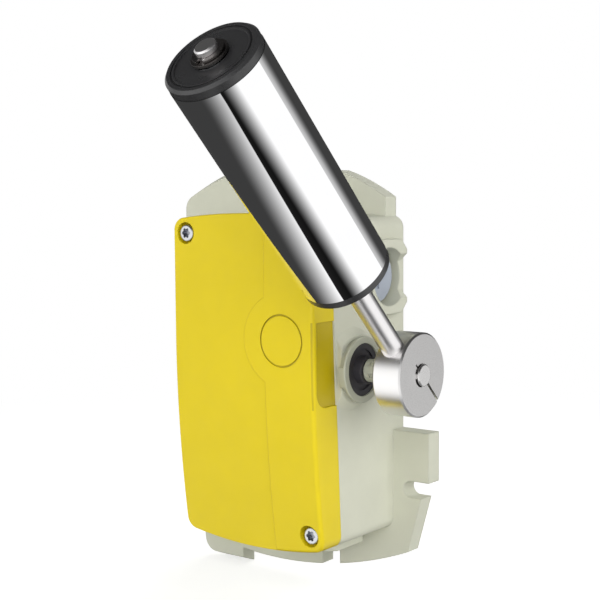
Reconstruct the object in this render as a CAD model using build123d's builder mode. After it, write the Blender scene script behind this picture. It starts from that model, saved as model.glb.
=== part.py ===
from build123d import *
import math
import os

# Belt-alignment position switch with a spring-returned roller lever.
# Millimetres. Back face of the mounting plate on y = 0, front towards -y, up +z.

# driving dimensions
plate_thick = 11.0
plate_arc_r = 145.0
plate_top_z = 127.0
plate_mid_x = -16.0
plate_left_x = -94.5
plate_right_x = 62.0
bottom_arc_r = 243.0
bottom_mid_x = -18.0
bottom_apex_z = -118.5
foot_left_x = -80.0
plate_corner_r = 13.0
bevel_wide = 10.0
bevel_deep = 4.0
foot_right_x = -46.0
foot_z = -127.0
ear_right_x = 91.0
ear_top_z = -29.0
ear_low_x = 77.0
side_slot_z = -62.2
side_slot_w = 9.5
side_slot_end = 79.0
end_slot_x = 22.8
end_slot_w = 13.0
end_slot_low_z = -108.0
end_slot_high_z = 110.0

body_left_x = -31.0
body_right_x = 67.0
body_top_z = 96.0
body_top_corner_z = 92.5
body_bottom_z = -90.5
body_bottom_corner_z = -85.5
body_corner_r = 7.0
body_wall = 4.0
floor_thick = 7.0
joint_y = -66.4
joint_tilt = 2.76

cover_front_y = -87.6
cover_bend_z = 22.0
cover_bend_drop = 10.5
cover_wall = 3.0
panel_step = 0.9
panel_edge_x = 34.5
knockout_x = 46.0
knockout_z = 28.2
knockout_r = 14.3
panel_ring_r = 25.6
screw_inset = 8.8
screw_head_r = 5.0
screw_head_t = 3.9

shaft_y = -51.5
shaft_z = 11.0
shaft_d = 10.0
run_gap = 0.05
hub_front_x = 112.0
hub_width = 17.0
hub_r = 22.5
rod_d = 12.0
tip_d = 10.4
rod_end_t = 224.4
rod_root_t = 9.0
lever_tilt = 45.3
roller_r = 23.2
roller_low_t = 80.2
roller_high_t = 218.4
roller_wall = 2.5

entry_d = 25.0
entry_y = -20.5
entry_z = 59.5
plug_r = entry_d / 2 + 2.2
plug_ring_r = plug_r - 0.2
entry_recess_r = plug_r + 1.7
bush_r = 12.0
bush_flange_r = 18.3
bush_flange_t = 4.5
bush_boss_r = 22.6
bush_boss_high = 3.4
bush_boss_slant = 48.0
seal_r = 14.45
lip_r = 7.7
lip_out = 4.2
shaft_head_d = 11.9
low_entry_x = 28.0
low_entry_y = -29.0

body_mid_x = (body_left_x + body_right_x) / 2
body_half = (body_right_x - body_left_x) / 2
hub_rear_x = hub_front_x - hub_width
hub_mid_x = hub_front_x - hub_width / 2
screw_left = (body_left_x + screw_inset, body_top_corner_z - screw_inset + 1.0)
screw_right = (body_right_x - screw_inset, body_bottom_corner_z + screw_inset - 1.0)
cover_screw_spots = (screw_left, screw_right)

tilt = math.radians(lever_tilt)
rod_dir = (0, -math.sin(tilt), math.cos(tilt))
clamp_dir = (0, math.cos(tilt), math.sin(tilt))


def joint_at(z):
    # depth of the tilted joint between housing and cover at height z
    return joint_y - math.tan(math.radians(joint_tilt)) * z


def rod_plane(t):
    # plane square to the lever rod, t millimetres from the shaft axis
    spot = (hub_mid_x, shaft_y + rod_dir[1] * t, shaft_z + rod_dir[2] * t)
    return Plane(origin=spot, x_dir=(1, 0, 0), z_dir=rod_dir)


def shaft_plane(x):
    # plane square to the lever shaft at the given x
    return Plane(origin=(x, shaft_y, shaft_z), x_dir=(0, 1, 0), z_dir=(1, 0, 0))


def front_plane(x, y, z):
    # plane facing the front, origin at the given point
    return Plane(origin=(x, y, z), x_dir=(1, 0, 0), z_dir=(0, -1, 0))


def shaft_like(x, y, z):
    # plane facing the lever side at any point
    return Plane(origin=(x, y, z), x_dir=(0, 1, 0), z_dir=(1, 0, 0))


joint_plane = Plane(
    origin=(0, joint_y, 0),
    x_dir=(1, 0, 0),
    z_dir=(0, -math.cos(math.radians(joint_tilt)), -math.sin(math.radians(joint_tilt))),
)
back_plane = front_plane(0, 0, 0)


def body_outline(inset, corner):
    # closed outline of housing and cover seen from the front, drawn on the open sketch
    left = body_left_x + inset
    right = body_right_x - inset
    high = body_top_corner_z - inset
    low = body_bottom_corner_z + inset
    top_mid = (body_mid_x, body_top_z - inset)
    low_mid = (body_mid_x, body_bottom_z + inset)
    sides = [
        Edge.make_three_point_arc((left, high), top_mid, (right, high)),
        Edge.make_line((right, high), (right, low)),
        Edge.make_three_point_arc((right, low), low_mid, (left, low)),
        Edge.make_line((left, low), (left, high)),
    ]
    outline = make_face(sides, mode=Mode.PRIVATE)
    add(outline.face().fillet_2d(corner, outline.vertices()))


def front_profile(depth):
    # side view of the cover front: straight above, a long arc running back below
    top = plate_top_z
    low = body_bottom_z - 6
    front = cover_front_y + depth
    back = front + cover_bend_drop
    bend_mid = (front + cover_bend_drop * 0.28, (cover_bend_z + low) / 2)
    sides = [
        Edge.make_line((0, top), (front, top)),
        Edge.make_line((front, top), (front, cover_bend_z)),
        Edge.make_three_point_arc((front, cover_bend_z), bend_mid, (back, low)),
        Edge.make_line((back, low), (0, low)),
        Edge.make_line((0, low), (0, top)),
    ]
    make_face(sides)


# ---- housing with its mounting plate
ear_step_x = 87.5


def arc_drop(radius, reach):
    # how far a shallow arc has fallen at the given distance from its apex
    return radius - math.sqrt(radius**2 - reach**2)


plate_left_z = plate_top_z - arc_drop(plate_arc_r, plate_left_x - plate_mid_x)
plate_right_z = plate_top_z - arc_drop(plate_arc_r, plate_right_x - plate_mid_x)
ear_low_z = bottom_apex_z + arc_drop(bottom_arc_r, ear_low_x - bottom_mid_x)
foot_step_z = bottom_apex_z + arc_drop(bottom_arc_r, foot_right_x - bottom_mid_x)
post_spots = ((-16.0, 30.0), (50.0, 30.0), (-16.0, -56.0), (50.0, -56.0))
post_top_y = -34.0
boss_high = 4.5
boss_half = 21.0
entry_seat_x = body_right_x - 8.0
entry_rear_x = body_right_x - 14.0

with BuildPart() as housing:
    with BuildSketch(back_plane):
        with BuildLine():
            ThreePointArc(
                (plate_left_x, plate_left_z),
                (plate_mid_x, plate_top_z),
                (plate_right_x, plate_right_z),
            )
            Polyline(
                (plate_right_x, plate_right_z),
                (plate_right_x, ear_top_z),
                (ear_right_x, ear_top_z),
                (ear_right_x, side_slot_z),
                (ear_step_x, side_slot_z),
                (ear_low_x, ear_low_z),
            )
            ThreePointArc(
                (ear_low_x, ear_low_z),
                (bottom_mid_x, bottom_apex_z),
                (foot_right_x, foot_step_z),
            )
            Polyline(
                (foot_right_x, foot_step_z),
                (foot_right_x, foot_z),
                (foot_left_x, foot_z),
                (-ear_step_x, side_slot_z),
                (plate_left_x, side_slot_z),
                (plate_left_x, plate_left_z),
            )
        face = make_face()
        left_corners = [v for v in face.vertices() if abs(v.Y - side_slot_z) > 1 and v.X < -70]
        fillet(left_corners, plate_corner_r)
        right_corners = [v for v in face.faces()[0].vertices() if abs(v.Y - side_slot_z) > 1 and v.X > 70]
        fillet(right_corners, 4)
        with Locations(((side_slot_end + ear_right_x) / 2 + 5, side_slot_z)):
            Rectangle(ear_right_x - side_slot_end + 10, side_slot_w, mode=Mode.SUBTRACT)
        with Locations((side_slot_end, side_slot_z), (-side_slot_end, side_slot_z)):
            Circle(side_slot_w / 2, mode=Mode.SUBTRACT)
        with Locations((-(side_slot_end + ear_right_x) / 2 - 5, side_slot_z)):
            Rectangle(ear_right_x - side_slot_end + 10, side_slot_w, mode=Mode.SUBTRACT)
        with Locations((end_slot_x, end_slot_low_z), (end_slot_x, end_slot_high_z)):
            Circle(end_slot_w / 2, mode=Mode.SUBTRACT)
        with Locations((end_slot_x, end_slot_low_z - 10), (end_slot_x, end_slot_high_z + 10)):
            Rectangle(end_slot_w, 20, mode=Mode.SUBTRACT)
    extrude(amount=plate_thick)
    plate_face = housing.faces().filter_by(Axis.Y).sort_by(Axis.Y)[0]
    plate_rim = plate_face.outer_wire().edges()
    away_side = [e for e in plate_rim if e.center().X < 0 and abs(e.center().Z - side_slot_z) > 6]
    bevelled = [e for e in away_side if e.center().X < -49 or e.center().Z > 105]
    chamfer(bevelled, bevel_deep, bevel_wide, reference=plate_face)

    # box of the housing, open to the front, its rim on the tilted joint
    with BuildSketch(back_plane):
        body_outline(0, body_corner_r)
    extrude(amount=90)
    split(bisect_by=joint_plane, keep=Keep.BOTTOM)

    # raised side entry and bottom entry
    with BuildSketch(shaft_like(body_right_x - 1, entry_y, entry_z)):
        pad = Rectangle(2 * boss_half - 7, 2 * boss_half)
        chamfer(pad.vertices(), 6)
    extrude(amount=boss_high + 1)
    with BuildSketch(Plane(origin=(low_entry_x, low_entry_y, body_bottom_z + 2), x_dir=(1, 0, 0), z_dir=(0, 0, -1))):
        pad = Rectangle(2 * boss_half + 1, 2 * boss_half - 7)
        chamfer(pad.vertices(), 5)
    extrude(amount=7.5)

    # conical boss under the shaft bush, cut off short of the joint
    with BuildSketch(shaft_plane(body_right_x)):
        Circle(bush_boss_r)
    boss_cone = extrude(amount=bush_boss_high, taper=bush_boss_slant, mode=Mode.PRIVATE)
    with BuildSketch(shaft_plane(body_right_x)):
        with Locations((bush_boss_r / 2 - 7.3, 0)):
            Rectangle(bush_boss_r + 14.6, 60)
    boss_reach = extrude(amount=bush_boss_high, mode=Mode.PRIVATE)
    add(boss_cone & boss_reach)

    # cavity with its floor, posts and screw pillars
    with BuildSketch(front_plane(0, -floor_thick, 0)):
        body_outline(body_wall, body_corner_r - 3)
        for x, z in cover_screw_spots:
            with Locations((x, z)):
                Circle(6.2, mode=Mode.SUBTRACT)
        for x, z in post_spots:
            with Locations((x, z)):
                Circle(4.5, mode=Mode.SUBTRACT)
    extrude(amount=90, mode=Mode.SUBTRACT)
    for x, z in post_spots:
        with BuildSketch(front_plane(x, post_top_y, z)):
            Circle(6)
        extrude(amount=60, mode=Mode.SUBTRACT)
        with BuildSketch(front_plane(x, post_top_y + 14, z)):
            Circle(2.05)
        extrude(amount=20, mode=Mode.SUBTRACT)
    for x, z in cover_screw_spots:
        with BuildSketch(front_plane(x, -40, z)):
            Circle(2.55)
        extrude(amount=50, mode=Mode.SUBTRACT)

    with BuildSketch(shaft_like(entry_rear_x, entry_y, entry_z)):
        Circle(19.0)
    extrude(amount=body_right_x - 2 - entry_rear_x)

    # bores: shaft bush, side entry with its stepped recess, bottom entry
    with BuildSketch(shaft_plane(body_right_x - 12)):
        Circle(12.05)
    extrude(amount=20, mode=Mode.SUBTRACT)
    with BuildSketch(shaft_like(entry_seat_x, entry_y, entry_z)):
        Circle(entry_recess_r)
    extrude(amount=20, mode=Mode.SUBTRACT)
    with BuildSketch(front_plane(body_right_x, 1, entry_z)):
        Polygon((0, -8.1), (boss_high + 1, -13.6), (boss_high + 1, 13.6), (0, 8.1), align=None)
    extrude(amount=1 - (entry_y + 9), mode=Mode.SUBTRACT)
    with BuildSketch(shaft_like(entry_rear_x - 1, entry_y, entry_z)):
        Circle(entry_d / 2)
    extrude(amount=20, mode=Mode.SUBTRACT)
    with BuildSketch(Plane(origin=(low_entry_x, low_entry_y, body_bottom_z + 12), x_dir=(1, 0, 0), z_dir=(0, 0, -1))):
        Circle(entry_d / 2)
    extrude(amount=30, mode=Mode.SUBTRACT)

# ---- front cover
cover_rim_in = 1.2
side_panel_high = shaft_z + 27.6
side_panel_low = shaft_z - 18.2

with BuildPart() as cover:
    with BuildSketch(back_plane):
        body_outline(0, body_corner_r)
    extrude(amount=120)
    split(bisect_by=joint_plane, keep=Keep.TOP)
    with BuildSketch(shaft_like(body_left_x - 5, 0, 0)):
        front_profile(0)
    extrude(amount=120, mode=Mode.INTERSECT)
    rim_front = [e for e in cover.edges() if e.center().Y < joint_at(e.center().Z) - 12 and e.length > 5]
    fillet(rim_front, 2.2)
    # the field left of the crease lies one step lower
    with BuildSketch(front_plane(0, -60, 0)):
        with Locations(((body_left_x + panel_edge_x) / 2 - 10, 0)):
            Rectangle(panel_edge_x - body_left_x + 20, 260)
        with Locations((knockout_x, knockout_z)):
            Circle(panel_ring_r, mode=Mode.SUBTRACT)
    low_field = extrude(amount=60, mode=Mode.PRIVATE)
    with BuildSketch(shaft_like(body_left_x - 5, 0, 0)):
        front_profile(panel_step)
    deep_field = extrude(amount=120, mode=Mode.PRIVATE)
    add(low_field - deep_field, mode=Mode.SUBTRACT)
    # cut line of the knock-out disc
    with BuildSketch(front_plane(knockout_x, cover_front_y + 0.7, knockout_z)):
        Circle(knockout_r)
        Circle(knockout_r - 0.9, mode=Mode.SUBTRACT)
    extrude(amount=5, mode=Mode.SUBTRACT)
    # shallow relief in the right flank beside the bush
    with BuildSketch(shaft_like(body_right_x - 1.0, 0, 0)):
        with BuildLine():
            Polyline((-60, side_panel_low), (-84, side_panel_low), (-84, side_panel_high), (-60, side_panel_high), close=True)
        relief = make_face()
        fillet([relief.vertices().group_by(Axis.X)[0].sort_by(Axis.Y)[0]], 8)
    extrude(amount=5, mode=Mode.SUBTRACT)
    # hollow behind, screw sleeves kept
    with BuildSketch(back_plane):
        body_outline(body_wall, body_corner_r - 3)
        for x, z in cover_screw_spots:
            with Locations((x, z)):
                Circle(8.2, mode=Mode.SUBTRACT)
    hollow = extrude(amount=120, mode=Mode.PRIVATE)
    with BuildSketch(shaft_like(body_left_x - 5, 0, 0)):
        front_profile(cover_wall + panel_step)
    inner = extrude(amount=120, mode=Mode.PRIVATE)
    add(hollow & inner, mode=Mode.SUBTRACT)
    for x, z in cover_screw_spots:
        seat_y = joint_at(z) - 12.0
        with BuildSketch(front_plane(x, seat_y, z)):
            Circle(6.1)
        extrude(amount=30, mode=Mode.SUBTRACT)
        with BuildSketch(front_plane(x, joint_at(z) + 5, z)):
            Circle(2.7)
        extrude(amount=30, mode=Mode.SUBTRACT)
    # groove for the gasket
    with BuildSketch(joint_plane):
        body_outline(cover_rim_in, body_corner_r - 1.2)
    groove_out = extrude(amount=1.6, mode=Mode.PRIVATE)
    with BuildSketch(joint_plane):
        body_outline(cover_rim_in + 1.7, body_corner_r - 2.4)
    groove_in = extrude(amount=1.6, mode=Mode.PRIVATE)
    add(groove_out - groove_in, mode=Mode.SUBTRACT)

with BuildPart() as cover_gasket:
    with BuildSketch(joint_plane):
        body_outline(cover_rim_in + 0.1, body_corner_r - 1.3)
    extrude(amount=1.5)
    with BuildSketch(joint_plane):
        body_outline(cover_rim_in + 1.6, body_corner_r - 2.3)
    extrude(amount=1.5, mode=Mode.SUBTRACT)


def star_recess(radius):
    # six-lobed driver recess on the open sketch
    Circle(radius * 0.78)
    with PolarLocations(radius * 0.74, 6):
        Circle(radius * 0.27)


with BuildPart() as cover_screws:
    for x, z in cover_screw_spots:
        seat_y = joint_at(z) - 12.0
        with BuildSketch(front_plane(x, seat_y, z)):
            Circle(screw_head_r)
        extrude(amount=screw_head_t)
        with BuildSketch(front_plane(x, seat_y, z)):
            Circle(2.5)
        extrude(amount=-30)
    rim = cover_screws.edges().filter_by(GeomType.CIRCLE).filter_by(lambda e: abs(e.radius - screw_head_r) < 0.01)
    heads = [e for e in rim if e.center().Y < joint_at(e.center().Z) - 14]
    fillet(heads, 1.4)
    for x, z in cover_screw_spots:
        seat_y = joint_at(z) - 12.0
        with BuildSketch(front_plane(x, seat_y - screw_head_t + 2.2, z)):
            star_recess(2.9)
        extrude(amount=6, mode=Mode.SUBTRACT)

# ---- blanking plug of the side entry
o_ring_thick = 1.4
plug_rear_x = entry_seat_x + o_ring_thick
with BuildPart() as side_plug:
    with BuildSketch(shaft_like(plug_rear_x, entry_y, entry_z)):
        Circle(plug_r)
    extrude(amount=2.8)
    with BuildSketch(shaft_like(entry_rear_x + 0.5, entry_y, entry_z)):
        Circle(entry_d / 2 - 0.05)
    extrude(amount=plug_rear_x - entry_rear_x - 0.5)
    fillet(side_plug.faces().sort_by(Axis.X)[-1].edges(), 0.8)
    with BuildSketch(shaft_like(plug_rear_x + 1.6, entry_y, entry_z)):
        Rectangle(2.4, 14)
    extrude(amount=4, mode=Mode.SUBTRACT)

with BuildPart() as plug_o_ring:
    with BuildSketch(shaft_like(entry_seat_x, entry_y, entry_z)):
        Circle(plug_ring_r)
        Circle(entry_d / 2, mode=Mode.SUBTRACT)
    extrude(amount=o_ring_thick)

# ---- shaft bush with flange, seal and inner snap ring
bush_rear_x = body_right_x - 12.0
bush_front_x = body_right_x + 8.0
bush_step_x = bush_front_x - bush_flange_t
seal_front_x = bush_front_x - 1.0
seal_rear_x = bush_step_x + 1.0
with BuildPart() as shaft_bush:
    with BuildSketch(shaft_plane(bush_rear_x)):
        Circle(bush_r)
    extrude(amount=bush_step_x + 1 - bush_rear_x)
    with BuildSketch(shaft_plane(bush_step_x)):
        Circle(bush_flange_r)
    extrude(amount=bush_flange_t)
    fillet(shaft_bush.faces().sort_by(Axis.X)[-1].edges(), 0.8)
    with BuildSketch(shaft_plane(seal_rear_x)):
        Circle(seal_r + 0.05)
    extrude(amount=6, mode=Mode.SUBTRACT)
    with BuildSketch(shaft_plane(bush_rear_x - 1)):
        Circle(shaft_d / 2 + run_gap)
    extrude(amount=30, mode=Mode.SUBTRACT)
    # side band of the flange cut back, a tab left standing towards the cover
    with BuildSketch(shaft_plane(bush_step_x - 0.5)):
        Circle(bush_flange_r + 2)
        Circle(bush_flange_r - 1.9, mode=Mode.SUBTRACT)
        with Locations((-bush_flange_r, -2.7)):
            Rectangle(9, 11.4, mode=Mode.SUBTRACT)
        with Locations((bush_flange_r, 0)):
            Rectangle(9, 14, mode=Mode.SUBTRACT)
    extrude(amount=bush_flange_t - 1.3 + 0.5, mode=Mode.SUBTRACT)
    with BuildSketch(shaft_plane(bush_rear_x + 3.0)):
        Circle(bush_r + 2)
        Circle(bush_r - 0.8, mode=Mode.SUBTRACT)
    extrude(amount=1.3, mode=Mode.SUBTRACT)

with BuildPart() as bush_snap_ring:
    with BuildSketch(shaft_plane(bush_rear_x + 3.1)):
        Circle(bush_r + 2)
        Circle(bush_r - 0.75, mode=Mode.SUBTRACT)
        with Locations((-bush_r - 0.5, 0)):
            Rectangle(6, 5, mode=Mode.SUBTRACT)
    extrude(amount=1.1)

with BuildPart() as shaft_seal:
    with BuildSketch(shaft_plane(seal_rear_x)):
        Circle(seal_r)
        Circle(shaft_d / 2 + run_gap, mode=Mode.SUBTRACT)
    extrude(amount=seal_front_x - seal_rear_x)
    with BuildSketch(shaft_plane(seal_front_x - 1)):
        Circle(lip_r)
        Circle(shaft_d / 2 + run_gap, mode=Mode.SUBTRACT)
    extrude(amount=lip_out + 1)
    with BuildSketch(shaft_plane(seal_front_x - 1.0)):
        Circle(seal_r - 3.2)
        Circle(lip_r, mode=Mode.SUBTRACT)
    extrude(amount=2, mode=Mode.SUBTRACT)
    lip_face = shaft_seal.faces().sort_by(Axis.X)[-1]
    fillet(lip_face.outer_wire().edges(), 0.8)

# ---- lever shaft and what turns with it
shaft_left_x = -15.0
shaft_right_x = hub_front_x + 1.5
shaft_head_x = hub_rear_x - 0.3
with BuildPart() as lever_shaft:
    with BuildSketch(shaft_plane(shaft_left_x)):
        Circle(shaft_d / 2)
    extrude(amount=shaft_right_x - shaft_left_x)
    with BuildSketch(shaft_plane(shaft_head_x)):
        Circle(shaft_head_d / 2)
    extrude(amount=shaft_right_x - shaft_head_x)
    end_faces = [lever_shaft.faces().sort_by(Axis.X)[0], lever_shaft.faces().sort_by(Axis.X)[-1]]
    chamfer([e for f in end_faces for e in f.edges()], 0.6)
    with BuildSketch(shaft_plane(shaft_left_x + 1.2)):
        Circle(7)
        Circle(4.5, mode=Mode.SUBTRACT)
    extrude(amount=1.1, mode=Mode.SUBTRACT)

collar_rear_x = seal_front_x + lip_out + 0.5
with BuildPart() as shaft_collar:
    with BuildSketch(shaft_plane(collar_rear_x)):
        Circle(shaft_head_d / 2 + 0.3)
        Circle(shaft_d / 2 + 0.01, mode=Mode.SUBTRACT)
    extrude(amount=shaft_head_x - collar_rear_x)
    # wedge notches cut through the sleeve, half way to the hub
    for turn in (20, 80, 140, 200, 260, 320):
        with BuildSketch(shaft_plane(collar_rear_x + 3)):
            with PolarLocations(shaft_head_d / 2 + 0.4, 1, start_angle=turn):
                RegularPolygon(1.7, 3)
        extrude(amount=9, mode=Mode.SUBTRACT)

with BuildPart() as shaft_snap_ring:
    with BuildSketch(shaft_plane(shaft_left_x + 1.25)):
        Circle(7.4)
        Circle(4.55, mode=Mode.SUBTRACT)
        with Locations((0, 6)):
            Rectangle(4, 6, mode=Mode.SUBTRACT)
    extrude(amount=1.0)

# eccentric cams: one reaches forward at rest, the other back
cam_width = 6.0
cam_r = 11.0
cam_offset = 2.0
warning_x = 10.0
stop_x = 32.0
cam_spots = {"warning_cam": (warning_x, -cam_offset), "stop_cam": (stop_x, cam_offset)}
cams = {}
for title, (x, shift) in cam_spots.items():
    with BuildPart() as cam:
        with BuildSketch(shaft_plane(x - cam_width / 2)):
            with Locations((shift, 0)):
                Circle(cam_r)
            Circle(shaft_d / 2 + 0.01, mode=Mode.SUBTRACT)
        extrude(amount=cam_width)
        with BuildSketch(shaft_plane(x + cam_width / 2 - 0.1)):
            Circle(8.0)
            Circle(shaft_d / 2 + 0.01, mode=Mode.SUBTRACT)
        extrude(amount=4)
        # threaded hole of the clamping screw through the hub of the cam
        with BuildSketch(Plane(origin=(x + cam_width / 2 + 2, shaft_y, shaft_z), x_dir=(1, 0, 0), z_dir=(0, 0, 1))):
            Circle(1.3)
        extrude(amount=12, mode=Mode.SUBTRACT)
    cams[title] = cam

with BuildPart() as cam_screws:
    for x, shift in cam_spots.values():
        with BuildSketch(Plane(origin=(x + cam_width / 2 + 2, shaft_y, shaft_z + 5.1), x_dir=(1, 0, 0), z_dir=(0, 0, 1))):
            Circle(1.25)
        extrude(amount=2.7)

# spring driver ring and the coiled return spring
driver_x = 47.5
with BuildPart() as spring_driver:
    with BuildSketch(shaft_plane(driver_x)):
        Circle(8.8)
        Circle(shaft_d / 2 + 0.01, mode=Mode.SUBTRACT)
    extrude(amount=3)
    with BuildSketch(shaft_plane(driver_x - 4)):
        with Locations((12.5, 0)):
            Rectangle(4, 5)
    extrude(amount=7)
    with BuildSketch(shaft_plane(driver_x)):
        with Locations((9.5, 0)):
            Rectangle(6, 5)
    extrude(amount=3)

spring_x = 40.0
spring_pitch = 1.7
spring_turns = 3.5
with BuildPart() as return_spring:
    coil = Helix(spring_pitch, spring_pitch * spring_turns, 7.6, center=(spring_x, shaft_y, shaft_z), direction=(1, 0, 0))
    with BuildSketch(Plane(origin=coil @ 0, z_dir=coil % 0)):
        Circle(0.65)
    sweep(path=coil, is_frenet=True)

# ---- carrier with its bearing stand
carrier_thick = 2.5
carrier_y = post_top_y - carrier_thick
stand_x = -12.0
with BuildPart() as contact_carrier:
    with BuildSketch(front_plane(0, post_top_y, 0)):
        with Locations((17, -13)):
            RectangleRounded(78, 98, 4)
        for x, z in post_spots:
            with Locations((x, z)):
                Circle(2.2, mode=Mode.SUBTRACT)
        with Locations((17, 22)):
            RectangleRounded(40, 12, 3, mode=Mode.SUBTRACT)
    extrude(amount=carrier_thick)

with BuildPart() as shaft_stand:
    with BuildSketch(shaft_plane(stand_x)):
        Circle(9)
        with Locations((8, 0)):
            Rectangle(shaft_y * -1 - 36.5 - 7, 18)
        Circle(shaft_d / 2 + run_gap, mode=Mode.SUBTRACT)
    extrude(amount=5)
    with BuildSketch(front_plane(stand_x + 8, carrier_y, shaft_z)):
        Rectangle(16, 18)
        with Locations((4, 0)):
            Circle(2.1, mode=Mode.SUBTRACT)
    extrude(amount=3)

# ---- contact blocks under the cams
block_w = 18.0
block_top_z = -11.0
block_low_z = -47.0
block_front_y = -63.0
plunger_r = 2.5
head_gap = 0.4
cam_low_z = shaft_z - cam_r
blocks = {}
plungers = {}
for title, x in (("warning", warning_x), ("stop", stop_x)):
    with BuildPart() as block:
        with BuildSketch(front_plane(x, carrier_y, 0)):
            with Locations((0, (block_top_z + block_low_z) / 2)):
                Rectangle(block_w, block_top_z - block_low_z)
        extrude(amount=carrier_y - block_front_y - 6)
        with BuildSketch(front_plane(x, block_front_y + 6, 0)):
            with Locations((0, (block_top_z + block_low_z) / 2)):
                Rectangle(block_w - 4, block_top_z - block_low_z)
        extrude(amount=6)
        with BuildSketch(Plane(origin=(x, shaft_y, block_top_z), x_dir=(1, 0, 0), z_dir=(0, 0, -1))):
            Circle(plunger_r + run_gap)
        extrude(amount=14, mode=Mode.SUBTRACT)
        # recesses for the terminal screws
        with BuildSketch(front_plane(x, block_front_y + 4, 0)):
            with GridLocations(8, 24, 1, 2):
                with Locations((0, (block_top_z + block_low_z) / 2)):
                    Circle(4.2)
        extrude(amount=10, mode=Mode.SUBTRACT)
    blocks[title] = block
    with BuildPart() as plunger:
        with BuildSketch(Plane(origin=(x, shaft_y, cam_low_z - head_gap), x_dir=(1, 0, 0), z_dir=(0, 0, -1))):
            Circle(4.4)
        extrude(amount=2)
        with BuildSketch(Plane(origin=(x, shaft_y, cam_low_z - head_gap - 2), x_dir=(1, 0, 0), z_dir=(0, 0, -1))):
            Circle(plunger_r)
        extrude(amount=16)
    plungers[title] = plunger

terminal_mid_z = (block_top_z + block_low_z) / 2
terminal_spots = [(x, terminal_mid_z + dz) for x in (warning_x, stop_x) for dz in (-12, 12)]
with BuildPart() as terminal_screws:
    for x, z in terminal_spots:
        with BuildSketch(front_plane(x, block_front_y + 4, z)):
            Circle(1.5)
        extrude(amount=1.5)
        with BuildSketch(front_plane(x, block_front_y + 3, z)):
            Circle(3.2)
        extrude(amount=2.2)
        with BuildSketch(front_plane(x, block_front_y + 1.8, z)):
            Rectangle(7, 1.0)
        extrude(amount=2, mode=Mode.SUBTRACT)

with BuildPart() as terminal_clamps:
    for x, z in terminal_spots:
        with BuildSketch(front_plane(x, block_front_y + 4, z)):
            RegularPolygon(3.9, 4)
            Circle(1.55, mode=Mode.SUBTRACT)
        extrude(amount=1.0)

with BuildPart() as carrier_screws:
    for x, z in post_spots:
        with BuildSketch(front_plane(x, carrier_y, z)):
            Circle(3.6)
        extrude(amount=2.4)
        with BuildSketch(front_plane(x, carrier_y + 12, z)):
            Circle(2.0)
        extrude(amount=12)
        with BuildSketch(front_plane(x, carrier_y - 1.4, z)):
            Rectangle(8, 1.0)
        extrude(amount=2, mode=Mode.SUBTRACT)

with BuildPart() as stand_screw:
    with BuildSketch(front_plane(stand_x + 12, carrier_y - 3, shaft_z)):
        Circle(3.6)
    extrude(amount=2.4)
    with BuildSketch(front_plane(stand_x + 12, carrier_y, shaft_z)):
        Circle(2.0)
    extrude(amount=3)

earth_spot = (-8.0, -74.0)
with BuildPart() as earth_terminal:
    with BuildSketch(front_plane(earth_spot[0], -floor_thick, earth_spot[1])):
        Rectangle(12, 10)
    extrude(amount=1.5)
    with BuildSketch(front_plane(earth_spot[0], -floor_thick - 1.5, earth_spot[1])):
        Circle(4)
    extrude(amount=3)
    with BuildSketch(front_plane(earth_spot[0], -floor_thick - 3.5, earth_spot[1])):
        Rectangle(10, 1.2)
    extrude(amount=2, mode=Mode.SUBTRACT)

# ---- lever hub, clamp screw and rod
with BuildPart() as lever_hub:
    with BuildSketch(shaft_plane(hub_rear_x)):
        Circle(hub_r)
    extrude(amount=hub_width)
    chamfer(lever_hub.faces().filter_by(Axis.X).edges(), 0.9)
    with BuildSketch(shaft_plane(hub_rear_x - 1)):
        Circle(shaft_head_d / 2 + 0.01)
    extrude(amount=hub_width + 2, mode=Mode.SUBTRACT)
    # two crescents beside the shaft's end and a short slit towards the rod
    with BuildSketch(shaft_plane(hub_front_x - 2.2)):
        with Locations((-0.9, 0)):
            Circle(shaft_head_d / 2 + 0.25)
        with Locations((-shaft_head_d / 2, 0)):
            Rectangle(6, 2.6, mode=Mode.SUBTRACT)
    extrude(amount=3, mode=Mode.SUBTRACT)
    with BuildSketch(rod_plane(shaft_head_d / 2 - 0.6)):
        with Locations((hub_width / 2, 0)):
            Rectangle(5, 1.1)
    extrude(amount=3.4, mode=Mode.SUBTRACT)
    # clamp slot away from the rod
    with BuildSketch(rod_plane(-hub_r - 2)):
        Rectangle(hub_width + 4, 1.5)
    extrude(amount=hub_r - 2, mode=Mode.SUBTRACT)
    with BuildSketch(rod_plane(rod_root_t)):
        Circle(rod_d / 2 + 0.01)
    extrude(amount=20, mode=Mode.SUBTRACT)
    clamp_spot = rod_plane(-14.0).origin
    with BuildSketch(Plane(origin=clamp_spot, x_dir=(1, 0, 0), z_dir=clamp_dir)):
        Circle(2.55)
    extrude(amount=12, both=True, mode=Mode.SUBTRACT)
    with BuildSketch(Plane(origin=clamp_spot - Vector(*clamp_dir) * 9.0, x_dir=(1, 0, 0), z_dir=clamp_dir)):
        Circle(4.5)
    extrude(amount=-20, mode=Mode.SUBTRACT)

with BuildPart() as hub_clamp_screw:
    clamp_seat = clamp_spot - Vector(*clamp_dir) * 9.0
    with BuildSketch(Plane(origin=clamp_seat, x_dir=(1, 0, 0), z_dir=clamp_dir)):
        Circle(4.25)
    extrude(amount=-5)
    with BuildSketch(Plane(origin=clamp_seat, x_dir=(1, 0, 0), z_dir=clamp_dir)):
        Circle(2.5)
    extrude(amount=20)
    with BuildSketch(Plane(origin=clamp_seat - Vector(*clamp_dir) * 5, x_dir=(1, 0, 0), z_dir=clamp_dir)):
        RegularPolygon(2.3, 6)
    extrude(amount=2.6, mode=Mode.SUBTRACT)

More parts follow.
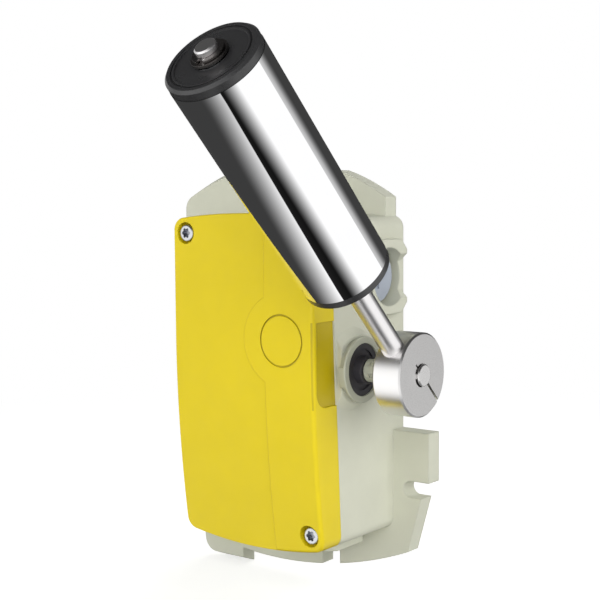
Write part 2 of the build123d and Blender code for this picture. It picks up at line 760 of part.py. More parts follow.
low_ring_t = roller_low_t + 4.9
with BuildPart() as lever_rod:
    with BuildSketch(rod_plane(rod_root_t)):
        Circle(rod_d / 2)
    extrude(amount=roller_high_t + 0.5 - rod_root_t)
    with BuildSketch(rod_plane(roller_high_t + 0.5)):
        Circle(tip_d / 2)
    extrude(amount=rod_end_t - roller_high_t - 0.5)
    rod_tip = lever_rod.faces().sort_by(Axis.Z)[-1]
    chamfer(rod_tip.edges(), 0.7)
    for t, neck_d in ((low_ring_t, rod_d), (roller_high_t + 1.9, tip_d)):
        with BuildSketch(rod_plane(t)):
            Circle(8)
            Circle(neck_d / 2 - 0.5, mode=Mode.SUBTRACT)
        extrude(amount=1.1, mode=Mode.SUBTRACT)

# ---- roller: tube, end caps, two ball bearings, spacers and rings
low_flange = 4.1
high_flange = 4.9
bearing_r = 14.0
bearing_w = 8.0
cap_bore = 8.2
washer_r = cap_bore + 0.7
spigot = 12.0
tube_low_t = roller_low_t + low_flange
tube_high_t = roller_high_t - high_flange
with BuildPart() as roller_tube:
    with BuildSketch(rod_plane(tube_low_t)):
        Circle(roller_r)
        Circle(roller_r - roller_wall, mode=Mode.SUBTRACT)
    extrude(amount=tube_high_t - tube_low_t)

with BuildPart() as lower_end_cap:
    with BuildSketch(rod_plane(roller_low_t)):
        Circle(roller_r - 0.2)
    extrude(amount=low_flange)
    chamfer(lower_end_cap.faces().sort_by(Axis.Z)[0].edges(), 0.3)
    with BuildSketch(rod_plane(tube_low_t)):
        Circle(roller_r - roller_wall - 0.02)
    extrude(amount=spigot)
    with BuildSketch(rod_plane(roller_low_t - 1)):
        Circle(cap_bore)
    extrude(amount=30, mode=Mode.SUBTRACT)
    with BuildSketch(rod_plane(tube_low_t + spigot - bearing_w - 1)):
        Circle(bearing_r + 0.01)
    extrude(amount=20, mode=Mode.SUBTRACT)

with BuildPart() as upper_end_cap:
    with BuildSketch(rod_plane(tube_high_t)):
        Circle(roller_r - 0.2)
    extrude(amount=high_flange)
    cap_face = upper_end_cap.faces().sort_by(Axis.Z)[-1]
    chamfer(cap_face.edges(), 1.3)
    with BuildSketch(rod_plane(tube_high_t)):
        Circle(roller_r - roller_wall - 0.02)
    extrude(amount=-spigot)
    with BuildSketch(rod_plane(tube_high_t - spigot - 1)):
        Circle(cap_bore)
    extrude(amount=40, mode=Mode.SUBTRACT)
    with BuildSketch(rod_plane(tube_high_t - spigot - 1)):
        Circle(bearing_r + 0.01)
    extrude(amount=bearing_w + 2, mode=Mode.SUBTRACT)
    # groove and dished centre of the outer face
    with BuildSketch(rod_plane(roller_high_t - 1.0)):
        Circle(19.9)
        Circle(18.9, mode=Mode.SUBTRACT)
    extrude(amount=3, mode=Mode.SUBTRACT)
    with BuildSketch(rod_plane(roller_high_t - 0.6)):
        Circle(18.0)
    extrude(amount=3, mode=Mode.SUBTRACT)

lower_bearing_t = tube_low_t + spigot - bearing_w - 0.5
upper_bearing_t = tube_high_t - spigot + 0.5
ring_parts = {}
for place, start in (("lower", lower_bearing_t), ("upper", upper_bearing_t)):
    with BuildPart() as outer_ring:
        with BuildSketch(rod_plane(start)):
            Circle(bearing_r)
            Circle(11.7, mode=Mode.SUBTRACT)
        extrude(amount=bearing_w)
    with BuildPart() as inner_ring:
        with BuildSketch(rod_plane(start)):
            Circle(8.2)
            Circle(rod_d / 2 + 0.01, mode=Mode.SUBTRACT)
        extrude(amount=bearing_w)
    with BuildPart() as balls:
        with Locations(rod_plane(start + bearing_w / 2)):
            with PolarLocations(9.95, 8):
                Sphere(1.68)
    ring_parts[place + "_bearing_outer_ring"] = outer_ring
    ring_parts[place + "_bearing_inner_ring"] = inner_ring
    ring_parts[place + "_bearing_balls"] = balls

with BuildPart() as bearing_spacer:
    with BuildSketch(rod_plane(lower_bearing_t + bearing_w)):
        Circle(7.6)
        Circle(rod_d / 2 + 0.01, mode=Mode.SUBTRACT)
    extrude(amount=upper_bearing_t - lower_bearing_t - bearing_w)

with BuildPart() as top_spacer:
    with BuildSketch(rod_plane(upper_bearing_t + bearing_w)):
        Circle(7.6)
        Circle(rod_d / 2 + 0.01, mode=Mode.SUBTRACT)
    extrude(amount=roller_high_t + 0.5 - upper_bearing_t - bearing_w)

with BuildPart() as roller_washer:
    with BuildSketch(rod_plane(roller_high_t + 0.5)):
        Circle(washer_r)
        Circle(tip_d / 2 + 0.05, mode=Mode.SUBTRACT)
    extrude(amount=1.3)

snap_rings = {}
ring_places = (("lower_snap_ring", low_ring_t + 0.05, rod_d), ("upper_snap_ring", roller_high_t + 1.95, tip_d))
for title, start, neck_d in ring_places:
    with BuildPart() as ring:
        with BuildSketch(rod_plane(start)):
            Circle(7.7)
            Circle(neck_d / 2 - 0.45, mode=Mode.SUBTRACT)
            with Locations((0, -7)):
                Rectangle(3.4, 6, mode=Mode.SUBTRACT)
        extrude(amount=1.0)
    snap_rings[title] = ring

pieces = {
    "housing": housing,
    "cover": cover,
    "cover_gasket": cover_gasket,
    "cover_screws": cover_screws,
    "side_plug": side_plug,
    "plug_o_ring": plug_o_ring,
    "shaft_bush": shaft_bush,
    "bush_snap_ring": bush_snap_ring,
    "shaft_seal": shaft_seal,
    "lever_shaft": lever_shaft,
    "shaft_collar": shaft_collar,
    "shaft_snap_ring": shaft_snap_ring,
    **cams,
    "cam_screws": cam_screws,
    "spring_driver": spring_driver,
    "return_spring": return_spring,
    "contact_carrier": contact_carrier,
    "shaft_stand": shaft_stand,
    "stand_screw": stand_screw,
    "carrier_screws": carrier_screws,
    "warning_contact_block": blocks["warning"],
    "stop_contact_block": blocks["stop"],
    "warning_plunger": plungers["warning"],
    "stop_plunger": plungers["stop"],
    "terminal_screws": terminal_screws,
    "terminal_clamps": terminal_clamps,
    "earth_terminal": earth_terminal,
    "lever_hub": lever_hub,
    "hub_clamp_screw": hub_clamp_screw,
    "lever_rod": lever_rod,
    "roller_tube": roller_tube,
    "lower_end_cap": lower_end_cap,
    "upper_end_cap": upper_end_cap,
    **ring_parts,
    "bearing_spacer": bearing_spacer,
    "top_spacer": top_spacer,
    "roller_washer": roller_washer,
    **snap_rings,
}

os.makedirs("parts", exist_ok=True)
for title, piece in pieces.items():
    piece.part.label = title
    export_step(piece.part, f"parts/{title}.step")
    print(title, piece.part.is_valid, len(piece.part.solids()), round(piece.part.volume))
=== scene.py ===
import math

import bpy
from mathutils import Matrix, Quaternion, Vector

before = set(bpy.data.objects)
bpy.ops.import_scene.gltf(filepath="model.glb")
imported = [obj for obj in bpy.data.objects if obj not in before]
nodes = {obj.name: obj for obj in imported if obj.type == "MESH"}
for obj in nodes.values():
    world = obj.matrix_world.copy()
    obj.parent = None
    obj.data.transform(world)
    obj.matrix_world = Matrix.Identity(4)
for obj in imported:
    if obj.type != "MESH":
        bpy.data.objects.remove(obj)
scene = bpy.context.scene
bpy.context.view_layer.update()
print("frame loaded")

# directions of the lever, shared by several pieces
lever = {
    "shaftY": -0.0515,
    "shaftZ": 0.011,
    "rodX": 0.1035,
    "tilt": math.radians(45.3),
    "tubeLow": 0.0843,
    "tubeHigh": 0.2135,
}
rodAxis = Vector((0, -math.sin(lever["tilt"]), math.cos(lever["tilt"])))
rodSide = Vector((0, math.cos(lever["tilt"]), math.sin(lever["tilt"])))
rodFoot = Vector((lever["rodX"], lever["shaftY"], lever["shaftZ"]))


# small helpers for node trees

# a colour as it is seen, 0 to 255, to the linear values that a shader reads
def toLinear(red, green, blue):
    values = [red / 255, green / 255, blue / 255]
    return [v / 12.92 if v < 0.04045 else ((v + 0.055) / 1.055) ** 2.4 for v in values] + [1.0]


def darker(colour, share):
    return [c * share for c in colour[:3]] + [1.0]


def addNode(tree, kind, sockets=None, **settings):
    node = tree.nodes.new(kind)
    for key, value in settings.items():
        setattr(node, key, value)
    for key, value in (sockets or {}).items():
        if isinstance(value, bpy.types.NodeSocket):
            tree.links.new(value, node.inputs[key])
        else:
            node.inputs[key].default_value = value
    return node


def mathNode(tree, operation, first, second=0.0):
    return addNode(tree, "ShaderNodeMath", {0: first, 1: second}, operation=operation).outputs[0]


def vectorNode(tree, operation, first, second=(0, 0, 0)):
    return addNode(tree, "ShaderNodeVectorMath", {0: first, 1: second}, operation=operation)


def dotNode(tree, first, second):
    return vectorNode(tree, "DOT_PRODUCT", first, second).outputs["Value"]


def lengthNode(tree, spot):
    return vectorNode(tree, "LENGTH", spot).outputs["Value"]


def splitNode(tree, spot):
    return addNode(tree, "ShaderNodeSeparateXYZ", {0: spot}).outputs


def rangeNode(tree, value, low, high, toLow=0.0, toHigh=1.0, smooth=False):
    sockets = {"Value": value, "From Min": low, "From Max": high, "To Min": toLow, "To Max": toHigh}
    kind = "SMOOTHSTEP" if smooth else "LINEAR"
    return addNode(tree, "ShaderNodeMapRange", sockets, interpolation_type=kind).outputs["Result"]


def mixColour(tree, factor, first, second):
    return addNode(tree, "ShaderNodeMix", {0: factor, 6: first, 7: second}, data_type="RGBA").outputs[2]


def noiseNode(tree, coords, scale, detail=3.0, rough=0.55):
    sockets = {"Vector": coords, "Scale": scale, "Detail": detail, "Roughness": rough}
    return addNode(tree, "ShaderNodeTexNoise", sockets).outputs["Fac"]


def newMaterial(name):
    material = bpy.data.materials.new(name)
    material.use_nodes = True
    tree = material.node_tree
    tree.nodes.clear()
    shader = addNode(tree, "ShaderNodeBsdfPrincipled")
    output = addNode(tree, "ShaderNodeOutputMaterial")
    tree.links.new(shader.outputs[0], output.inputs["Surface"])
    coords = addNode(tree, "ShaderNodeTexCoord").outputs["Object"]
    return material, tree, shader, coords


def softEdge(tree, radius):
    return addNode(tree, "ShaderNodeBevel", {"Radius": radius}, samples=6).outputs["Normal"]


def bumpNode(tree, height, strength, distance, normal):
    sockets = {"Height": height, "Strength": strength, "Distance": distance, "Normal": normal}
    return addNode(tree, "ShaderNodeBump", sockets).outputs["Normal"]


# moulded plastic or rubber: cloudy colour, grain at two scales and softened edges
# the scales are in waves per metre, the heights and the edge's radius in metres
moulded = {
    "cloud": 0.94,
    "cloudScale": 45.0,
    "speck": 0.96,
    "speckScale": 2600.0,
    "glossScale": 160.0,
    "smoother": 0.04,
    "rougher": 0.05,
    "edge": 0.0005,
    "grainScale": 1500.0,
    "grainHeight": 0.0001,
    "flow": 0.03,
    "flowScale": 30.0,
    "flowHeight": 0.001,
    "specular": 0.4,
    "coatRough": 0.12,
}


def mouldedMaterial(name, values):
    material, tree, shader, coords = newMaterial(name)
    base = toLinear(*values["colour"])
    clouds = noiseNode(tree, coords, moulded["cloudScale"], 4.0)
    cloudy = rangeNode(tree, clouds, 0.35, 0.68)
    colour = mixColour(tree, cloudy, darker(base, values.get("cloud", moulded["cloud"])), base)
    speck = noiseNode(tree, coords, moulded["speckScale"], 2.0)
    dusty = rangeNode(tree, speck, 0.56, 0.74)
    colour = mixColour(tree, dusty, colour, darker(base, values.get("speck", moulded["speck"])))
    for paint in values.get("paint", []):
        colour = paint(tree, coords, colour)
    tree.links.new(colour, shader.inputs["Base Color"])
    gloss = noiseNode(tree, coords, moulded["glossScale"], 3.0)
    rough = values["rough"]
    level = rangeNode(tree, gloss, 0.3, 0.7, rough - moulded["smoother"], rough + moulded["rougher"])
    tree.links.new(level, shader.inputs["Roughness"])
    normal = softEdge(tree, values.get("edge", moulded["edge"]))
    grain = noiseNode(tree, coords, moulded["grainScale"], 2.5)
    normal = bumpNode(tree, grain, values["grain"], moulded["grainHeight"], normal)
    flow = noiseNode(tree, coords, moulded["flowScale"], 1.0)
    normal = bumpNode(tree, flow, moulded["flow"], moulded["flowHeight"], normal)
    tree.links.new(normal, shader.inputs["Normal"])
    shader.inputs["Specular IOR Level"].default_value = values.get("specular", moulded["specular"])
    shader.inputs["Coat Weight"].default_value = values.get("coat", 0.0)
    shader.inputs["Coat Roughness"].default_value = moulded["coatRough"]
    return material


# where a turned or ground surface is, along its axis and out from it
def turnedCoords(tree, coords, axis, centre, along, across):
    spot = vectorNode(tree, "SUBTRACT", coords, centre).outputs[0]
    run = dotNode(tree, spot, axis)
    reach = lengthNode(tree, spot)
    # the distance from the axis, as the root of reach squared less run squared
    away = mathNode(tree, "SUBTRACT", mathNode(tree, "MULTIPLY", reach, reach),
                    mathNode(tree, "MULTIPLY", run, run))
    radius = mathNode(tree, "SQRT", mathNode(tree, "MAXIMUM", away, 0.0))
    parts = addNode(tree, "ShaderNodeCombineXYZ", {
        0: mathNode(tree, "MULTIPLY", run, along), 1: mathNode(tree, "MULTIPLY", radius, across)})
    return parts.outputs[0]


# metal: tint and roughness drift slowly, with fine lines that run round an axis
metal = {
    "cloud": 0.95,
    "cloudScale": 60.0,
    "streak": 0.93,
    "lineScale": 900.0,
    "line": 0.02,
    "lineHeight": 0.00005,
    "roughSpread": 0.3,
    "edge": 0.0003,
}


def metalMaterial(name, values):
    material, tree, shader, coords = newMaterial(name)
    base = toLinear(*values["colour"])
    clouds = noiseNode(tree, coords, metal["cloudScale"], 4.0)
    cloudy = rangeNode(tree, clouds, 0.3, 0.7)
    colour = mixColour(tree, cloudy, darker(base, values.get("cloud", metal["cloud"])), base)
    if "stretch" in values:
        lines = noiseNode(tree, turnedCoords(tree, coords, *values["stretch"]), 1.0, 3.0, 0.7)
    else:
        lines = noiseNode(tree, coords, values.get("lineScale", metal["lineScale"]), 3.0)
    streaky = rangeNode(tree, lines, 0.5, 0.75)
    colour = mixColour(tree, streaky, colour, darker(base, values.get("streak", metal["streak"])))
    for paint in values.get("paint", []):
        colour = paint(tree, coords, colour)
    tree.links.new(colour, shader.inputs["Base Color"])
    rough = values["rough"]
    spread = values.get("roughSpread", metal["roughSpread"])
    level = rangeNode(tree, lines, 0.3, 0.7, rough * (1 - spread), rough * (1 + spread))
    for wear in values.get("wear", []):
        level = wear(tree, coords, level)
    tree.links.new(level, shader.inputs["Roughness"])
    normal = softEdge(tree, values.get("edge", metal["edge"]))
    normal = bumpNode(tree, lines, values.get("line", metal["line"]), metal["lineHeight"], normal)
    tree.links.new(normal, shader.inputs["Normal"])
    shader.inputs["Metallic"].default_value = 1.0
    return material


def dress(material, *names):
    for name in names:
        slots = nodes[name].data.materials
        slots.clear()
        slots.append(material)


# camera, as fitted to the photograph
camera = {
    "target": (0.03148, -0.0515, 0.04691),
    "reach": 0.71265,
    "azimuth": math.radians(37.35),
    "elevation": math.radians(4.84),
    "roll": math.radians(-0.39),
    "lens": 76.31,
}
cameraData = bpy.data.cameras.new("camera")
cameraObject = bpy.data.objects.new("camera", cameraData)
scene.collection.objects.link(cameraObject)
back = Vector((
    math.sin(camera["azimuth"]) * math.cos(camera["elevation"]),
    -math.cos(camera["azimuth"]) * math.cos(camera["elevation"]),
    math.sin(camera["elevation"]),
))
cameraObject.location = Vector(camera["target"]) + back * camera["reach"]
cameraObject.rotation_mode = "QUATERNION"
turn = (-back).to_track_quat("-Z", "Y")
cameraObject.rotation_quaternion = turn @ Quaternion((0, 0, 1), camera["roll"])
cameraData.lens = camera["lens"]
cameraData.sensor_width = 36
cameraData.clip_start = 0.02
cameraData.clip_end = 30
scene.camera = cameraObject
print("camera made")

# world: white for the camera, faint light for diffuse rays, mostly from behind the plate, and for
# gloss a studio of bright walls and dark bands that run round the roller's direction
studio = {
    "ambientBack": 0.25,
    "ambientFront": 0.05,
    "ambientBlend": 0.3,
    # the left side: from and to a ray's share along the roller, and each value at those two
    "along": (-0.63, -0.49),
    "fallEnd": (-155.5, -116.0),
    "fallTop": (0.97, 0.56),
    "fallEdge": (-84.5, -69.0),
    "fallCurve": 1.9,
    "leftFloor": 0.045,
    "edgeStart": 1.2,
    "edgeWidth": 1.0,
    # the wall in front: where it takes over, its level, and where it darkens to what level
    "front": (-0.42, -0.12),
    "frontLevel": 1.3,
    "wallTop": (0.18, 0.55),
    "wallTopLevel": 0.07,
    "wallFoot": (-0.85, -0.5),
    "wallFootLevel": 0.55,
    "wallSide": (0.7, 0.95),
    "wallSideLevel": 0.5,
    # the right side is one lit wall with soft edges: each runs from dark to lit, in degrees round the roller
    "lit": 1.03,
    "lowerEdge": (-62.5, -26.0),
    "lowerCurve": 1.75,
    "upperEdge": (77.5, 41.0),
    "upperCurve": 2.0,
    # the faint light round that wall: behind the roller, at the wall's foot, and what it gains on top
    "behind": 0.05,
    "dark": 0.007,
    "pastWall": 0.041,
}
world = bpy.data.worlds.new("world")
scene.world = world
world.use_nodes = True
sky = world.node_tree
sky.nodes.clear()
ray = addNode(sky, "ShaderNodeTexCoord").outputs["Generated"]
alongRod = dotNode(sky, ray, rodAxis)
acrossX = dotNode(sky, ray, (1, 0, 0))
acrossUp = dotNode(sky, ray, rodSide)
angle = mathNode(sky, "ARCTAN2", acrossUp, acrossX)
degrees = mathNode(sky, "MULTIPLY", angle, 180 / math.pi)
# the lit wall's light is a power of the way across each soft edge, and the faint light is added to it
lowerEdge = mathNode(sky, "POWER", rangeNode(sky, degrees, *studio["lowerEdge"]), studio["lowerCurve"])
upperEdge = mathNode(sky, "POWER", rangeNode(sky, degrees, *studio["upperEdge"]), studio["upperCurve"])
litWall = mathNode(sky, "MULTIPLY", mathNode(sky, "MULTIPLY", lowerEdge, upperEdge), studio["lit"])
faintBelow = rangeNode(sky, degrees, -180, studio["lowerEdge"][0], studio["behind"], studio["dark"])
faintAbove = rangeNode(sky, degrees, *reversed(studio["upperEdge"]), 0.0, studio["pastWall"])
rightBand = mathNode(sky, "ADD", litWall, mathNode(sky, "ADD", faintBelow, faintAbove))
# left of the sharp edge the light falls off slowly, later where the ray runs closer to the floor
fallEnd = rangeNode(sky, alongRod, *studio["along"], *studio["fallEnd"])
fallTop = rangeNode(sky, alongRod, *studio["along"], *studio["fallTop"])
fallEdge = rangeNode(sky, alongRod, *studio["along"], *studio["fallEdge"])
fade = mathNode(sky, "POWER", rangeNode(sky, degrees, fallEnd, fallEdge), studio["fallCurve"])
fade = mathNode(sky, "ADD", mathNode(sky, "MULTIPLY", fade, fallTop), studio["leftFloor"])
edgeFrom = mathNode(sky, "ADD", fallEdge, studio["edgeStart"])
edgeTo = mathNode(sky, "ADD", fallEdge, studio["edgeStart"] + studio["edgeWidth"])
tubeView = mixColour(sky, rangeNode(sky, degrees, edgeFrom, edgeTo), fade, rightBand)
front = rangeNode(sky, alongRod, *studio["front"], smooth=True)
height = splitNode(sky, ray)["Z"]
wallLevel = rangeNode(sky, height, *studio["wallTop"], studio["frontLevel"], studio["wallTopLevel"],
                      smooth=True)
wallFoot = rangeNode(sky, height, *studio["wallFoot"], studio["wallFootLevel"], 1.0, smooth=True)
wallLevel = mathNode(sky, "MULTIPLY", wallLevel, wallFoot)
sideways = mathNode(sky, "ABSOLUTE", acrossX)
wallSide = rangeNode(sky, sideways, *studio["wallSide"], 1.0, studio["wallSideLevel"], smooth=True)
wallLevel = mathNode(sky, "MULTIPLY", wallLevel, wallSide)
gloss = mixColour(sky, front, tubeView, wallLevel)
path = addNode(sky, "ShaderNodeLightPath")
facing = dotNode(sky, ray, (0, -1, 0))
soft = rangeNode(sky, facing, -studio["ambientBlend"], studio["ambientBlend"],
                 studio["ambientBack"], studio["ambientFront"], smooth=True)
seen = mixColour(sky, path.outputs["Is Glossy Ray"], soft, gloss)
seen = mixColour(sky, path.outputs["Is Camera Ray"], seen, (1, 1, 1, 1))
seen = mixColour(sky, path.outputs["Is Transmission Ray"], seen, (1, 1, 1, 1))
surface = addNode(sky, "ShaderNodeBackground", {"Color": seen, "Strength": 1.0})
skyOut = addNode(sky, "ShaderNodeOutputWorld")
sky.links.new(surface.outputs[0], skyOut.inputs["Surface"])

# soft lamps: place in metres, size in metres, power in watts
lampAim = Vector((0.02, -0.05, 0.0))
lamps = {
    "right": {"at": (1.80, -0.05, 0.65), "size": 1.3, "power": 18.0},
    "front": {"at": (1.06, -1.59, 0.41), "size": 1.6, "power": 28.5},
    "frontLeft": {"at": (-0.87, -1.60, 0.65), "size": 1.3, "power": 14.5},
    "left": {"at": (-1.85, 0.10, 0.33), "size": 1.2, "power": 6.0},
    "back": {"at": (-0.30, 1.65, 0.85), "size": 1.4, "power": 18.0},
}
for name, lamp in lamps.items():
    lampData = bpy.data.lights.new(name, "AREA")
    lampData.size = lamp["size"]
    lampData.energy = lamp["power"]
    lampObject = bpy.data.objects.new(name, lampData)
    lampObject.location = lamp["at"]
    lampObject.rotation_mode = "QUATERNION"
    lampObject.rotation_quaternion = (lampAim - Vector(lamp["at"])).to_track_quat("-Z", "Y")
    lampObject.visible_glossy = False
    scene.collection.objects.link(lampObject)

# floor: a wide pale sheet just under the plate's foot, white to the camera but for the shadow
# "lift" is its own light near the object, and from nearReach to farReach metres it turns all white
floorValues = {
    "half": 6.0,
    "z": -0.1275,
    "colour": (205, 205, 203),
    "rough": 0.9,
    "specular": 0.1,
    "lift": 0.62,
    "nearReach": 0.2,
    "farReach": 0.75,
}
corners = [(x * floorValues["half"], y * floorValues["half"], floorValues["z"])
           for x, y in ((-1, -1), (1, -1), (1, 1), (-1, 1))]
floorMesh = bpy.data.meshes.new("floor")
floorMesh.from_pydata(corners, [], [(0, 1, 2, 3)])
floor = bpy.data.objects.new("floor", floorMesh)
scene.collection.objects.link(floor)
floorMaterial, tree, shader, coords = newMaterial("floor")
shader.inputs["Base Color"].default_value = toLinear(*floorValues["colour"])
shader.inputs["Roughness"].default_value = floorValues["rough"]
shader.inputs["Specular IOR Level"].default_value = floorValues["specular"]
path = addNode(tree, "ShaderNodeLightPath")
shown = mathNode(tree, "MAXIMUM", path.outputs["Is Camera Ray"], path.outputs["Is Transmission Ray"])
lift = mathNode(tree, "MULTIPLY", shown, floorValues["lift"])
shader.inputs["Emission Color"].default_value = (1, 1, 1, 1)
tree.links.new(lift, shader.inputs["Emission Strength"])
reach = lengthNode(tree, coords)
far = rangeNode(tree, reach, floorValues["nearReach"], floorValues["farReach"], smooth=True)
far = mathNode(tree, "MULTIPLY", far, shown)
glow = addNode(tree, "ShaderNodeEmission", {"Color": (1, 1, 1, 1), "Strength": 1.0})
blend = addNode(tree, "ShaderNodeMixShader", {0: far, 1: shader.outputs[0], 2: glow.outputs[0]})
target = next(n for n in tree.nodes if n.type == "OUTPUT_MATERIAL")
tree.links.new(blend.outputs[0], target.inputs["Surface"])
floorMesh.materials.append(floorMaterial)
floor.visible_glossy = False
print("studio made")


# finishes of the plastics

# painted shade: the recessed panel in the cover's right flank is painted a deeper, plainer tone
panelShade = {
    "innerX": (0.0663, 0.0667),
    "outerX": (0.0655, 0.0657),
    "highZ": (0.0390, 0.0388),
    "lowZ": (-0.0076, -0.0074),
    "colour": (186, 165, 4),
}


# painted shade on the panel's floor: its darker colour is mixed in where x and z lie inside the panel
def panelShadePaint(tree, coords, colour):
    split = splitNode(tree, coords)
    inner = rangeNode(tree, split["X"], *panelShade["innerX"], 1.0, 0.0)
    outer = rangeNode(tree, split["X"], *panelShade["outerX"])
    high = rangeNode(tree, split["Z"], *panelShade["highZ"])
    low = rangeNode(tree, split["Z"], *panelShade["lowZ"])
    panelShadeMask = mathNode(tree, "MULTIPLY", mathNode(tree, "MULTIPLY", inner, outer),
                    mathNode(tree, "MULTIPLY", high, low))
    return mixColour(tree, panelShadeMask, colour, toLinear(*panelShade["colour"]))


# painted shade: round places that lie deeper than the face round them are painted a little darker
# "at" is x and z, "ring" the inner and outer radius, "deepFrom" the y where the depth starts
sunkShadePlaces = {
    "knockOut": {"at": (0.046, 0.0282), "ring": (0.0133, 0.0144), "deepFrom": -0.0875},
    "upperScrew": {"at": (-0.0222, 0.0847), "ring": (-0.001, 0.003), "deepFrom": -0.0861},
    "lowerScrew": {"at": (0.0582, -0.0777), "ring": (-0.001, 0.003), "deepFrom": -0.0783},
    "ringBlend": 0.0001,
    "depthBlend": 0.0002,
    "grooveShadeColour": (178, 158, 10),
    "recessShadeColour": (150, 153, 162),
}


# the mask of a sunk place: its ring, where it lies deeper than deepFrom, which gets painted shade
def sunkShadeMask(tree, coords, name):
    values = sunkShadePlaces[name]
    inner, outer = values["ring"]
    blend = sunkShadePlaces["ringBlend"]
    split = splitNode(tree, coords)
    across = mathNode(tree, "SUBTRACT", split["X"], values["at"][0])
    upward = mathNode(tree, "SUBTRACT", split["Z"], values["at"][1])
    away = mathNode(tree, "SQRT", mathNode(tree, "ADD", mathNode(tree, "MULTIPLY", across, across),
                                           mathNode(tree, "MULTIPLY", upward, upward)))
    within = mathNode(tree, "MULTIPLY", rangeNode(tree, away, outer + blend, outer),
                      rangeNode(tree, away, inner - blend, inner))
    deep = rangeNode(tree, split["Y"], values["deepFrom"], values["deepFrom"] + sunkShadePlaces["depthBlend"])
    return mathNode(tree, "MULTIPLY", within, deep)


# painted shade: the knock-out's groove is painted a darker yellow
def knockOutShadePaint(tree, coords, colour):
    grooveShade = sunkShadeMask(tree, coords, "knockOut")
    return mixColour(tree, grooveShade, colour, toLinear(*sunkShadePlaces["grooveShadeColour"]))


# painted shade: the cover screws' recesses are painted a darker grey
def recessShadePaint(tree, coords, colour):
    recessShade = mathNode(tree, "MAXIMUM", sunkShadeMask(tree, coords, "upperScrew"),
                        sunkShadeMask(tree, coords, "lowerScrew"))
    return mixColour(tree, recessShade, colour, toLinear(*sunkShadePlaces["recessShadeColour"]))


housingPlastic = mouldedMaterial("housingPlastic", {
    "colour": (205, 206, 189), "rough": 0.52, "grain": 0.16, "specular": 0.35, "edge": 0.0014, "cloud": 0.95,
})
# the cover's paints lay painted shade on its recessed panel and in its knock-out groove
coverPlastic = mouldedMaterial("coverPlastic", {
    "colour": (222, 199, 14), "rough": 0.34, "grain": 0.05, "specular": 0.4, "edge": 0.0007, "cloud": 0.965,
    "speck": 0.985, "paint": [panelShadePaint, knockOutShadePaint],
})
blackPlastic = mouldedMaterial("blackPlastic", {
    "colour": (44, 44, 45), "rough": 0.3, "grain": 0.05, "specular": 0.6, "coat": 0.12, "edge": 0.0004,
    "speck": 1.15,
})
bushPlastic = mouldedMaterial("bushPlastic", {
    "colour": (180, 182, 166), "rough": 0.5, "grain": 0.12, "edge": 0.0003,
})
plugPlastic = mouldedMaterial("plugPlastic", {
    "colour": (168, 175, 187), "rough": 0.4, "grain": 0.08, "edge": 0.0003,
})
blackRubber = mouldedMaterial("blackRubber", {
    "colour": (56, 54, 58), "rough": 0.62, "grain": 0.2, "edge": 0.0003, "speck": 1.2,
})
contactPlastic = mouldedMaterial("contactPlastic", {"colour": (62, 63, 66), "rough": 0.5, "grain": 0.12})
plungerPlastic = mouldedMaterial("plungerPlastic", {"colour": (196, 42, 30), "rough": 0.35, "grain": 0.06})

# finishes of the metals

# painted shade: the tube's two cut ends are painted dark, the rest of it is polished
tubeEndShade = {"depth": 0.00008, "blend": 0.00004, "colour": (70, 70, 72)}


# paints the tube's cut ends dark, as painted shade, near each end of its run along the roller
def cutEndShade(tree, coords, colour):
    run = dotNode(tree, vectorNode(tree, "SUBTRACT", coords, rodFoot).outputs[0], rodAxis)
    depth, blend = tubeEndShade["depth"], tubeEndShade["blend"]
    high = rangeNode(tree, run, lever["tubeHigh"] - depth, lever["tubeHigh"] - depth + blend)
    low = rangeNode(tree, run, lever["tubeLow"] + depth, lever["tubeLow"] + depth - blend)
    return mixColour(tree, mathNode(tree, "MAXIMUM", high, low), colour, toLinear(*tubeEndShade["colour"]))


# the roller's chrome carries painted shade on the tube's cut ends
rollerChrome = metalMaterial("rollerChrome", {
    "colour": (252, 252, 253), "rough": 0.022, "roughSpread": 0.5, "cloud": 0.985, "streak": 0.985,
    "line": 0.004, "edge": 0.00005, "stretch": (rodAxis, rodFoot, 3800.0, 20.0), "paint": [cutEndShade],
})
rodSteel = metalMaterial("rodSteel", {
    "colour": (250, 248, 248), "rough": 0.33, "roughSpread": 0.04,
    "stretch": (rodAxis, rodFoot, 500.0, 20.0), "line": 0.0005, "streak": 0.985,
})
shaftCentre = (0.0, lever["shaftY"], lever["shaftZ"])


# the hub's two flat faces are ground, so they look duller than its polished rim
groundFaces = {
    "frontX": (0.11194, 0.11199),
    "rearX": (0.09505, 0.09525),
    "rougher": 0.16,
    "grainScale": 2200.0,
    "dark": (208, 207, 206),
    "light": (222, 221, 220),
}


def groundWear(tree, coords, level):
    split = splitNode(tree, coords)
    frontFace = rangeNode(tree, split["X"], *groundFaces["frontX"], 0.0, groundFaces["rougher"])
    rearFace = rangeNode(tree, split["X"], *groundFaces["rearX"], groundFaces["rougher"], 0.0)
    return mathNode(tree, "ADD", level, mathNode(tree, "ADD", frontFace, rearFace))


def groundTint(tree, coords, colour):
    frontFace = rangeNode(tree, splitNode(tree, coords)["X"], *groundFaces["frontX"])
    grain = rangeNode(tree, noiseNode(tree, coords, groundFaces["grainScale"], 2.0), 0.3, 0.7)
    grey = mixColour(tree, grain, toLinear(*groundFaces["dark"]), toLinear(*groundFaces["light"]))
    return mixColour(tree, frontFace, colour, grey)


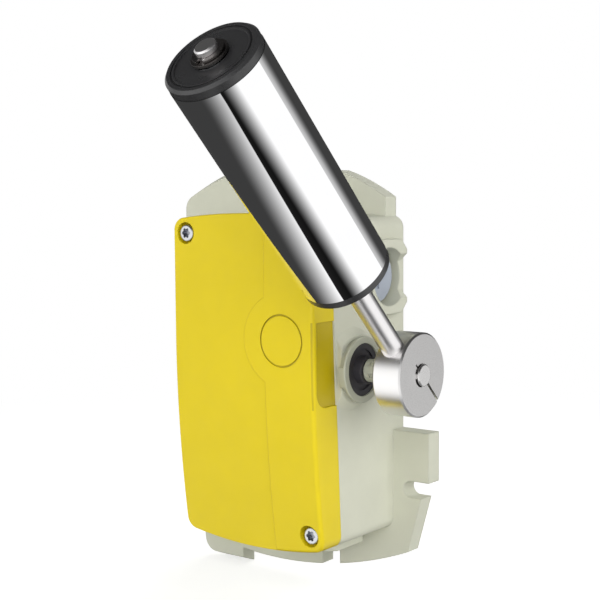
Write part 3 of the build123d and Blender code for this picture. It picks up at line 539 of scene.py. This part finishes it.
hubSteel = metalMaterial("hubSteel", {
    "colour": (236, 235, 234), "rough": 0.3, "roughSpread": 0.06, "line": 0.002, "streak": 0.97,
    "stretch": ((1, 0, 0), shaftCentre, 1600.0, 1600.0), "wear": [groundWear], "paint": [groundTint],
})
shaftSteel = metalMaterial("shaftSteel", {
    "colour": (222, 221, 220), "rough": 0.24, "line": 0.03,
    "stretch": ((1, 0, 0), shaftCentre, 2400.0, 2600.0),
})
screwSteel = metalMaterial("screwSteel", {"colour": (232, 233, 236), "rough": 0.2, "lineScale": 1400.0})
# the cover screws' steel carries painted shade in its recesses
coverScrewSteel = metalMaterial("coverScrewSteel", {
    "colour": (206, 208, 212), "rough": 0.28, "lineScale": 1400.0, "paint": [recessShadePaint],
})
springSteel = metalMaterial("springSteel", {"colour": (118, 114, 112), "rough": 0.3})
bearingSteel = metalMaterial("bearingSteel", {"colour": (226, 226, 228), "rough": 0.1})
terminalBrass = metalMaterial("terminalBrass", {"colour": (206, 170, 96), "rough": 0.25})

dress(housingPlastic, "housing")
dress(coverPlastic, "cover")
dress(blackPlastic, "lower_end_cap", "upper_end_cap")
dress(bushPlastic, "shaft_bush")
dress(plugPlastic, "side_plug")
dress(blackRubber, "shaft_seal", "cover_gasket", "plug_o_ring")
dress(contactPlastic, "warning_contact_block", "stop_contact_block")
dress(plungerPlastic, "warning_plunger", "stop_plunger")
dress(rollerChrome, "roller_tube")
dress(rodSteel, "lever_rod")
dress(hubSteel, "lever_hub")
dress(bushPlastic, "shaft_collar")
dress(shaftSteel, "lever_shaft", "shaft_stand", "contact_carrier", "spring_driver", "warning_cam", "stop_cam")
dress(coverScrewSteel, "cover_screws")
dress(screwSteel, "hub_clamp_screw", "carrier_screws", "stand_screw", "cam_screws")
dress(springSteel, "return_spring", "bush_snap_ring", "shaft_snap_ring", "lower_snap_ring", "upper_snap_ring",
      "roller_washer")
dress(bearingSteel, "lower_bearing_outer_ring", "lower_bearing_inner_ring", "lower_bearing_balls",
      "upper_bearing_outer_ring", "upper_bearing_inner_ring", "upper_bearing_balls", "bearing_spacer",
      "top_spacer")
dress(terminalBrass, "terminal_screws", "terminal_clamps", "earth_terminal")
print("materials made")

scene.view_settings.view_transform = "Standard"

print("scene complete")
